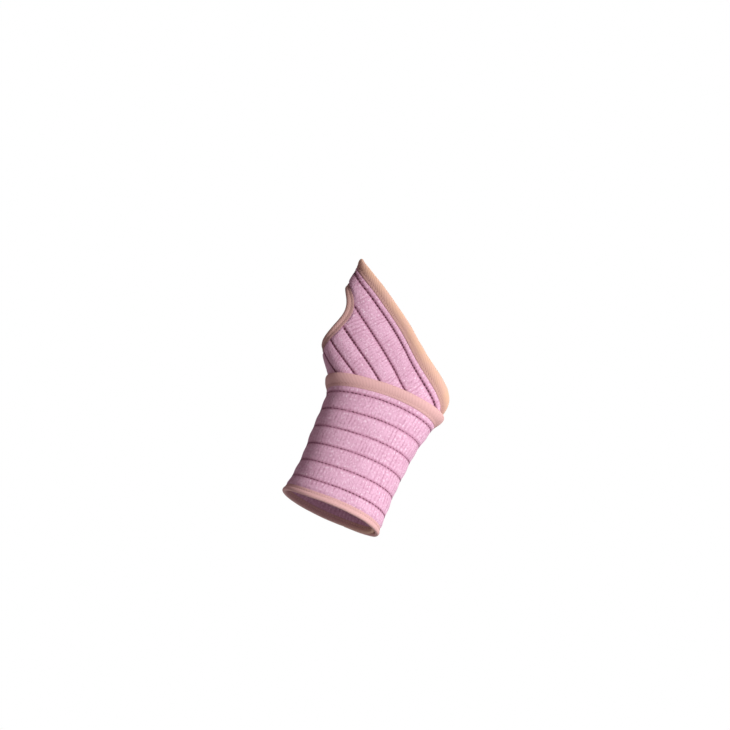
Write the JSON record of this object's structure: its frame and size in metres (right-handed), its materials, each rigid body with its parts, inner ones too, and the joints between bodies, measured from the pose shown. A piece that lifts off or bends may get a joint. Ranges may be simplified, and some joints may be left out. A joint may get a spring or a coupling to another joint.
{
  "type": "wrist wrap",
  "caption": "Elastic wrist and hand wrap for the right hand: a ribbed strip with woven lines, bound edges and a bound thumb hole, crossing the hand and closing round the wrist.",
  "frame": {"origin": "middle of the wrist that the wrap is worn on, 37.8 mm above the wrap's lower edge", "axes": "+Z along the forearm towards the fingers, -Y out of the back of the hand, +X to the little finger's side of a right hand"},
  "size_m": [0.091, 0.0501, 0.1565],
  "materials": {
    "elastic_cloth": "ribbed knitted elastic, mauve pink with dark maroon woven lines",
    "edge_tape": "folded peach tape, stitched",
    "hook_tape": "matt hook tape"
  },
  "bodies": {
    "root": {"elastic_strip": "elastic_cloth", "distal_edge_binding": "edge_tape", "proximal_edge_binding": "edge_tape", "palm_end_binding": "edge_tape", "closure_end_binding": "edge_tape", "thumb_hole_binding": "edge_tape", "hook_tab": "hook_tape"}
  },
  "joints": []
}
